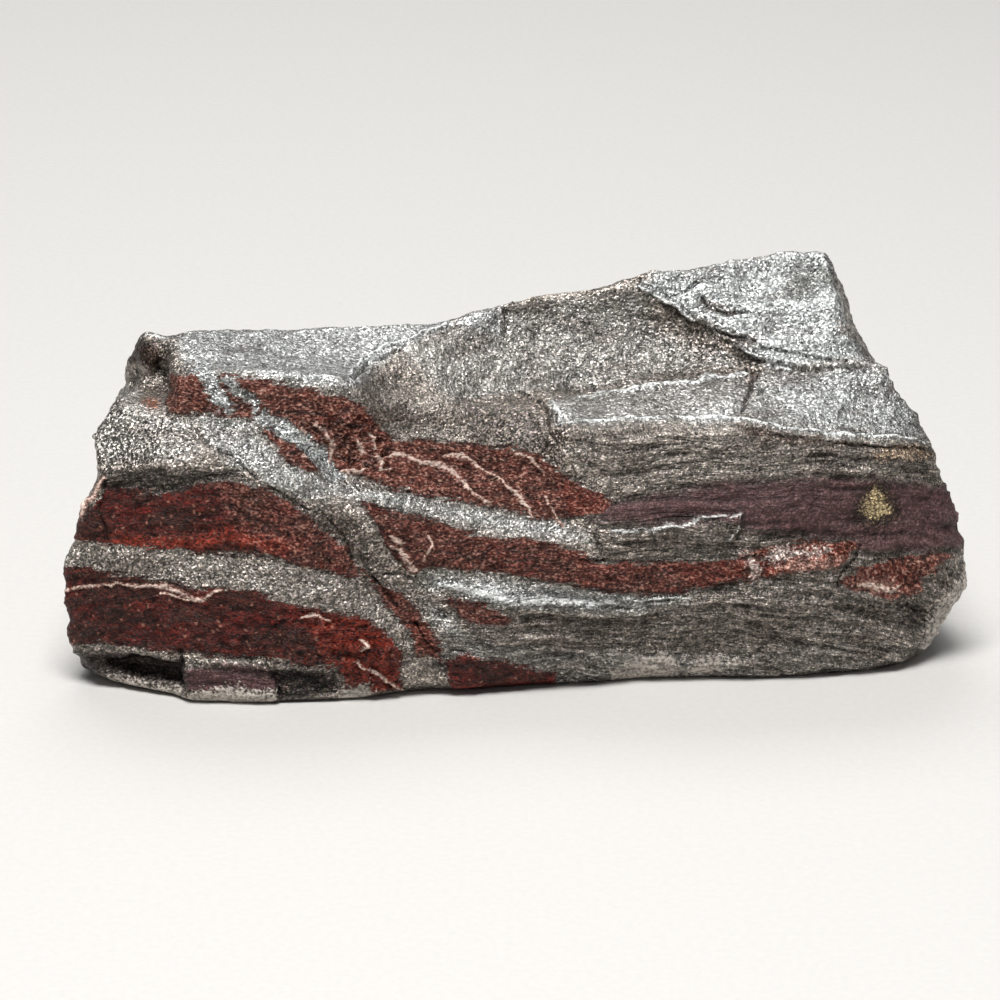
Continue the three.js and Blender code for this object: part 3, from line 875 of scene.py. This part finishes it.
def rock_block():
    """The whole specimen: the fine skin, broken up band by band and painted."""
    piece = fine_skin()
    mesh = piece.data
    edges = vertex_edges(mesh)
    places = neighbour_mean(vertex_places(mesh), edges, EVEN_ROUNDS)
    normals = vertex_normals(mesh)
    bands = read_bands(places, normals)
    fade = soft_step(places[:, 2], FOOT_FLAT, FOOT_BROKEN)
    places += normals * (broken_heights(places, bands) * MM * fade)[:, None]
    places[:, 2] = np.maximum(places[:, 2], 0)
    mesh.vertices.foreach_set("co", places.ravel())
    mesh.update()
    normals = vertex_normals(mesh)
    # The skin's height over its smoothed level, from which the material paints shade into hollows and light
    # onto crests.
    smooth = neighbour_mean(places, edges, HOLLOW_ROUNDS)
    bands["relief"] = np.sum((places - smooth) * normals, axis=1) / MM
    for name, values in bands.items():
        paint(mesh, name, values)
    mesh.shade_smooth()
    mesh.materials.append(banded_hematite(bands))
    return piece


def linear(hex_colour):
    """An sRGB hex colour as the linear colour that a shader takes."""
    shares = [int(hex_colour[start:start + 2], 16) / 255 for start in (1, 3, 5)]
    return tuple(s / 12.92 if s <= 0.04045 else ((s + 0.055) / 1.055) ** 2.4 for s in shares) + (1.0,)


def per_metre(size_mm):
    """How many times a pattern of this size repeats in a metre."""
    return 1 / (size_mm * MM)


def add(tree, kind, inputs=None, output=0, **settings):
    """Adds a node with its settings, sets or links its inputs, and gives one of its outputs."""
    node = tree.nodes.new(kind)
    for name, value in settings.items():
        setattr(node, name, value)
    for key, value in (inputs or {}).items():
        if isinstance(value, bpy.types.NodeSocket):
            tree.links.new(value, node.inputs[key])
        else:
            node.inputs[key].default_value = value
    return node.outputs[output]


def frayed_edge(tree, depth, pattern, fray_mm, soft_mm):
    """A band's mask from its depth in millimetres, with its edge broken by a pattern."""
    centred = add(tree, "ShaderNodeMath", {0: pattern, 1: 0.5}, operation="SUBTRACT")
    shifted = add(tree, "ShaderNodeMath", {0: centred, 1: fray_mm, 2: depth}, operation="MULTIPLY_ADD")
    return add(
        tree, "ShaderNodeMapRange", {"Value": shifted, "From Min": -soft_mm, "From Max": soft_mm},
        interpolation_type="SMOOTHSTEP",
    )


def layered_colour(tree, colour, layers):
    """A colour with others laid over it one after the other, each where its own mask is."""
    for mask, over in layers:
        inputs = {SHARE: mask, COLOUR_A: colour, COLOUR_B: over}
        colour = add(tree, "ShaderNodeMix", inputs, COLOUR_OUT, data_type="RGBA")
    return colour


def rock_patterns(tree, bed_height):
    """The patterns that every mineral of the rock shares: even grain, and others drawn out along the beds."""
    place = add(tree, "ShaderNodeTexCoord", output="Object")
    axes = add(tree, "ShaderNodeSeparateXYZ", {0: place}).node.outputs
    bed = add(tree, "ShaderNodeCombineXYZ", {0: axes[0], 1: axes[1], 2: bed_height})
    patterns = {"place": place}
    patterns["grain"] = add(
        tree, "ShaderNodeTexNoise", {"Vector": place, "Scale": per_metre(GRAIN_SIZE), "Detail": GRAIN_DETAIL}
    )
    for name, (long_mm, thick_mm) in {**BED_NOISES, **BED_CELLS}.items():
        sizes = (per_metre(long_mm), per_metre(long_mm), per_metre(thick_mm))
        scaled = add(tree, "ShaderNodeMapping", {"Vector": bed, "Scale": sizes})
        if name in BED_CELLS:
            patterns[name] = add(tree, "ShaderNodeTexVoronoi", {"Vector": scaled, "Scale": 1.0}, "Color")
        else:
            inputs = {"Vector": scaled, "Scale": 1.0, "Detail": BED_DETAIL}
            patterns[name] = add(tree, "ShaderNodeTexNoise", inputs)
    # A glint painted into the colour of a few flakes.
    chance = add(tree, "ShaderNodeSeparateColor", {"Color": patterns["flakes"]})
    patterns["flash"] = add(tree, "ShaderNodeMath", {0: chance, 1: FLASH_POWER}, operation="POWER")
    return patterns


def thin_joints(tree, pattern):
    """Thin dark joints between beds, where a pattern crosses its middle."""
    offset = add(tree, "ShaderNodeMath", {0: pattern, 1: 0.5}, operation="SUBTRACT")
    away = add(tree, "ShaderNodeMath", {0: offset}, operation="ABSOLUTE")
    return add(tree, "ShaderNodeMapRange", {"Value": away, **JOINT_RANGE})


def hematite_finish(tree, patterns, bands):
    """Specular hematite, cleaved along its own plates: a steel-grey mirror in tiny flakes, each tilted its
    own way, so that some flash white and their neighbours stay dark. Its colour holds light and shade painted
    by the tone, and a glint painted on a few flakes, which are made much brighter."""
    layers = []
    for low, high, hex_colour in STEEL_STEPS:
        share = add(tree, "ShaderNodeMapRange", {"Value": bands["tone"], "From Min": low, "From Max": high})
        layers.append((share, linear(hex_colour)))
    layers.append((FLAKE_TINT, patterns["flakes"]))
    film = add(tree, "ShaderNodeMapRange", {"Value": patterns["clouds"], **FILM_RANGE})
    layers.append((film, linear(STEEL_FILM)))
    steel = layered_colour(tree, linear(STEEL_DARK), layers)
    most = add(tree, "ShaderNodeMix", {SHARE: bands["bedded"], **FLASH_MOST})
    flash = add(
        tree, "ShaderNodeMapRange", {"Value": patterns["flash"], "To Min": FLASH_LEAST, "To Max": most}
    )
    mottle = add(tree, "ShaderNodeMapRange", {"Value": patterns["grain"], **MOTTLE_RANGE})
    streak = add(tree, "ShaderNodeMapRange", {"Value": patterns["streaks"], **STREAK_RANGE})
    joints = thin_joints(tree, patterns["streaks"])
    layered = add(tree, "ShaderNodeMath", {0: streak, 1: joints}, operation="MULTIPLY")
    pits = add(tree, "ShaderNodeMapRange", {"Value": patterns["grit"], **PIT_RANGE})
    shade = add(tree, "ShaderNodeMix", {SHARE: bands["bedded"], NUMBER_A: pits, NUMBER_B: layered})
    for pattern in (flash, mottle):
        shade = add(tree, "ShaderNodeMath", {0: shade, 1: pattern}, operation="MULTIPLY")
    colour = add(tree, "ShaderNodeVectorMath", {0: steel, "Scale": shade}, operation="SCALE")
    roughness = add(tree, "ShaderNodeMix", {SHARE: bands["tone"], **STEEL_ROUGHNESS})
    return colour, roughness


def jasper_finish(tree, patterns, bands):
    """Jasper, quartz coloured by fine iron oxide and broken with a shell-like break: waxy dark red to brown,
    cloudy, streaked along the beds, with pale chipped specks that are partly painted highlights, and glossy
    where it broke in lumps."""
    clouds = add(tree, "ShaderNodeMapRange", {"Value": patterns["clouds"], **CLOUD_RANGE})
    streak = add(tree, "ShaderNodeMapRange", {"Value": patterns["streaks"], **DARK_STREAK_RANGE})
    layers = [(clouds, linear(JASPER_CLOUD))]
    layers.append((bands["weathered"], linear(JASPER_WEATHERED)))
    layers.append((streak, linear(JASPER_STREAK)))
    layers.append((bands["fresh"], linear(JASPER_FRESH)))
    red = layered_colour(tree, linear(JASPER_GROUND), layers)
    grit = add(tree, "ShaderNodeMapRange", {"Value": patterns["grit"], **GRIT_RANGE})
    gritty = add(tree, "ShaderNodeVectorMath", {0: red, "Scale": grit}, operation="SCALE")
    # Pale splinters and specks, partly highlights painted on the chips.
    chipped = add(tree, "ShaderNodeMapRange", {"Value": patterns["grit"], **SPLINTER_RANGE})
    splinters = add(tree, "ShaderNodeMath", {0: chipped, 1: bands["weathered"]}, operation="MULTIPLY")
    cells = add(
        tree, "ShaderNodeTexVoronoi", {"Vector": patterns["place"], "Scale": per_metre(SPECK_SPACING)}
    )
    uneven = add(
        tree, "ShaderNodeMath", {0: patterns["grain"], 1: SPECK_GRAIN, 2: cells}, operation="MULTIPLY_ADD"
    )
    specks = add(tree, "ShaderNodeMapRange", {"Value": uneven, **SPECK_RANGE})
    pale_and_glint = [(splinters, linear(JASPER_SPLINTER_GLINT)), (specks, linear(JASPER_SPECK_GLINT))]
    roughness = add(tree, "ShaderNodeMix", {SHARE: bands["gloss"], **JASPER_ROUGHNESS})
    return layered_colour(tree, gritty, pale_and_glint), roughness


def stain_layers(tree, patterns, bands):
    """The stains, the glints and the shade painted on the rock, each speckled with glints painted on its
    grains.
    """
    # Glints painted onto the grains of each stain.
    glint_speckle = add(tree, "ShaderNodeMapRange", {"Value": patterns["flash"], **GLINT_SPECKLE_RANGE})
    layers = []
    for name, (hex_colour, share, _) in STAINS.items():
        stained = frayed_edge(tree, bands[name], patterns["grain"], STAIN_FRAY, STAIN_SOFT)
        mask = add(tree, "ShaderNodeMath", {0: stained, 1: share}, operation="MULTIPLY")
        flat = linear(hex_colour)[:3]
        glint_speckled = add(tree, "ShaderNodeVectorMath", {0: flat, "Scale": glint_speckle}, operation="SCALE")
        layers.append((mask, glint_speckled))
    return layers


def pale_and_glint_layers(tree, patterns, bands):
    """The foot's greyish crust, the highlight painted white on the lips of plates and the pinkish veins,
    broken up by the grit.
    """
    grit = patterns["grit"]
    broken_crust = add(
        tree, "ShaderNodeMix", {SHARE: CRUST_GRAIN, NUMBER_A: grit, NUMBER_B: patterns["grain"]}
    )
    crust = frayed_edge(tree, bands["crust"], broken_crust, CRUST_FRAY, CRUST_SOFT)
    mottle = add(tree, "ShaderNodeMapRange", {"Value": patterns["grain"], **CRUST_RANGE})
    grey = linear(CRUST_GREY)[:3]
    mottled = add(tree, "ShaderNodeVectorMath", {0: grey, "Scale": mottle}, operation="SCALE")
    layers = [(crust, mottled)]
    # The lips' white is a painted highlight; the veins are pale stone.
    for name, hex_colour, low, high, share in PALE_AND_GLINT_LINES:
        broken = add(
            tree, "ShaderNodeMath", {0: grit, 1: LINE_GRIT, 2: bands[name]}, operation="MULTIPLY_ADD"
        )
        strength = add(
            tree, "ShaderNodeMapRange", {"Value": broken, "From Min": low, "From Max": high, "To Max": share},
            interpolation_type="SMOOTHSTEP",
        )
        near = add(tree, "ShaderNodeMapRange", {"Value": bands[name], **LINE_RANGE})
        mask = add(tree, "ShaderNodeMath", {0: strength, 1: near}, operation="MULTIPLY")
        layers.append((mask, linear(hex_colour)))
    return layers


def fine_relief(tree, patterns, bands, jasper):
    """The smallest breaks: rounded crumbs in the jasper and fine beds in the hematite."""
    grain = patterns["grain"]
    crumbs = add(tree, "ShaderNodeTexVoronoi", {"Vector": patterns["place"], "Scale": per_metre(CRUMB_SIZE)})
    gritty = add(
        tree, "ShaderNodeMath", {0: patterns["grit"], 1: GRIT_RELIEF, 2: grain}, operation="MULTIPLY_ADD"
    )
    crumbled = add(tree, "ShaderNodeMath", {0: crumbs, 1: CRUMB_RELIEF, 2: gritty}, operation="MULTIPLY_ADD")
    beds = add(tree, "ShaderNodeMath", {0: patterns["streaks"], 1: bands["bedded"]}, operation="MULTIPLY")
    bedded = add(tree, "ShaderNodeMath", {0: beds, 1: BED_RELIEF, 2: grain}, operation="MULTIPLY_ADD")
    height = add(tree, "ShaderNodeMix", {SHARE: jasper, NUMBER_A: bedded, NUMBER_B: crumbled})
    return add(tree, "ShaderNodeBump", {"Height": height, "Strength": 1.0, "Distance": RELIEF_DEPTH * MM})


def tilted_flakes(tree, fine, patterns, bands, jasper, metallic):
    """The fine relief's normal, with each metal flake and each chip of jasper leaning its own way."""
    toned_lean = add(tree, "ShaderNodeMapRange", {"Value": bands["tone"], **FLAKE_LEAN})
    flake_lean = add(tree, "ShaderNodeMath", {0: metallic, 1: toned_lean}, operation="MULTIPLY")
    chip_lean = add(tree, "ShaderNodeMath", {0: jasper, 1: CHIP_LEAN}, operation="MULTIPLY")
    normal = fine
    for name, amount in (("flakes", flake_lean), ("chips", chip_lean)):
        lean = add(
            tree, "ShaderNodeVectorMath", {0: patterns[name], 1: (0.5, 0.5, 0.5)}, operation="SUBTRACT"
        )
        leaning = add(tree, "ShaderNodeVectorMath", {0: lean, "Scale": amount}, operation="SCALE")
        normal = add(tree, "ShaderNodeVectorMath", {0: normal, 1: leaning}, operation="ADD")
    return add(tree, "ShaderNodeVectorMath", {0: normal}, operation="NORMALIZE")


def purple_layer(tree, patterns, bands):
    """The mask and colour of the fine-grained purple-grey layers, with glints painted on a few grains."""
    edge = frayed_edge(tree, bands["purple"], patterns["streaks"], PURPLE_FRAY, PURPLE_SOFT)
    mask = add(tree, "ShaderNodeMath", {0: edge, 1: PURPLE_COVER}, operation="MULTIPLY")
    sparkle = add(tree, "ShaderNodeMapRange", {"Value": patterns["flash"], **PURPLE_RANGE})
    grey = linear(PURPLE_GREY)[:3]
    colour = add(tree, "ShaderNodeVectorMath", {0: grey, "Scale": sparkle}, operation="SCALE")
    return mask, colour


def banded_hematite(band_names):
    """The block's rock, broken from its bed: hematite with seams of jasper, purple-grey layers, pale veins
    and a few iron stains, with shade painted darker into its hollows and light painted onto its crests."""
    material = bpy.data.materials.new("banded_hematite")
    material.use_nodes = True
    tree = material.node_tree
    tree.nodes.clear()
    bands = {}
    for name in band_names:
        bands[name] = add(tree, "ShaderNodeAttribute", output="Fac", attribute_name=name)
    patterns = rock_patterns(tree, bands["bed"])
    ragged = add(
        tree, "ShaderNodeMix",
        {SHARE: RAGGED_STREAKS, NUMBER_A: patterns["grain"], NUMBER_B: patterns["streaks"]},
    )
    jasper = frayed_edge(tree, bands["jasper"], ragged, JASPER_FRAY, JASPER_SOFT)
    purple, purple_colour = purple_layer(tree, patterns, bands)
    pale_and_glint = pale_and_glint_layers(tree, patterns, bands)
    steel, steel_roughness = hematite_finish(tree, patterns, bands)
    red, red_roughness = jasper_finish(tree, patterns, bands)
    layers = [(purple, purple_colour), (jasper, red)] + stain_layers(tree, patterns, bands) + pale_and_glint
    banded = layered_colour(tree, steel, layers)
    # Shade painted into the hollows and light painted onto the crests.
    hollow = add(tree, "ShaderNodeMapRange", {"Value": bands["relief"], **PAINTED_HOLLOW_SHADE_RANGE})
    colour = add(tree, "ShaderNodeVectorMath", {0: banded, "Scale": hollow}, operation="SCALE")
    dull = add(tree, "ShaderNodeMath", {0: jasper, 1: purple}, operation="MAXIMUM")
    for mask, _ in pale_and_glint:
        dull = add(tree, "ShaderNodeMath", {0: dull, 1: mask}, operation="MAXIMUM")
    metallic = add(tree, "ShaderNodeMapRange", {"Value": dull, **STEEL_METALLIC})
    roughness = add(
        tree, "ShaderNodeMix", {SHARE: jasper, NUMBER_A: steel_roughness, NUMBER_B: red_roughness}
    )
    fine = fine_relief(tree, patterns, bands, jasper)
    normal = tilted_flakes(tree, fine, patterns, bands, jasper, metallic)
    shader = add(
        tree, "ShaderNodeBsdfPrincipled",
        {
            "Base Color": colour, "Metallic": metallic,
            "Roughness": roughness, "Specular IOR Level": JASPER_SPECULAR, "Normal": normal,
        },
    )
    tree.links.new(shader, tree.nodes.new("ShaderNodeOutputMaterial").inputs["Surface"])
    return material


def pale_floor():
    """A plain matt sheet of pale card under the rock."""
    shape = bmesh.new()
    bmesh.ops.create_grid(shape, x_segments=1, y_segments=1, size=FLOOR_HALF)
    mesh = bpy.data.meshes.new("pale_floor")
    shape.to_mesh(mesh)
    shape.free()
    card = bpy.data.materials.new("matt_card")
    card.use_nodes = True
    tree = card.node_tree
    shader = tree.nodes["Principled BSDF"]
    shader.inputs["Roughness"].default_value = CARD_ROUGHNESS
    place = add(tree, "ShaderNodeTexCoord", output="Object")
    fibre = add(
        tree, "ShaderNodeTexNoise", {"Vector": place, "Scale": per_metre(FIBRE_SIZE), "Detail": GRAIN_DETAIL}
    )
    colour = layered_colour(tree, linear(CARD_DARK), [(fibre, linear(CARD_LIGHT))])
    tree.links.new(colour, shader.inputs["Base Color"])
    mesh.materials.append(card)
    floor = bpy.data.objects.new("pale_floor", mesh)
    bpy.context.collection.objects.link(floor)
    return floor


def softbox(name, place_mm, width_mm, height_mm, watts):
    """A soft studio light that faces the rock."""
    light = bpy.data.lights.new(name, "AREA")
    light.shape = "RECTANGLE"
    light.size = width_mm * MM
    light.size_y = height_mm * MM
    light.energy = watts
    lamp = bpy.data.objects.new(name, light)
    lamp.location = Vector(place_mm) * MM
    lamp.rotation_euler = (Vector(CAMERA_AIM) - lamp.location).to_track_quat("-Z", "Y").to_euler()
    bpy.context.collection.objects.link(lamp)


def studio():
    """The lights, the dim room round them and the camera."""
    softbox("back_softbox", place_mm=(-100, 560, 760), width_mm=650, height_mm=400, watts=3.4)
    softbox("top_softbox", place_mm=(-60, -380, 950), width_mm=520, height_mm=400, watts=13.0)
    world = bpy.data.worlds.new("dim_room")
    world.use_nodes = True
    room = world.node_tree.nodes["Background"]
    room.inputs["Color"].default_value = linear(ROOM_GREY)
    room.inputs["Strength"].default_value = ROOM_STRENGTH
    bpy.context.scene.world = world
    lens = bpy.data.cameras.new("camera")
    lens.lens = LENS_MM
    lens.sensor_width = SENSOR_MM
    camera = bpy.data.objects.new("camera", lens)
    camera.location = Vector(CAMERA_AIM - VIEW_AHEAD * CAMERA_DISTANCE)
    camera.rotation_euler = (math.pi / 2 - LOOK_DOWN, 0, 0)
    bpy.context.collection.objects.link(camera)
    bpy.context.scene.camera = camera
    bpy.context.scene.view_settings.view_transform = "Standard"


rock = rock_block()
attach(rock, "root")
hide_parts("banded_rock")
pale_floor()
studio()

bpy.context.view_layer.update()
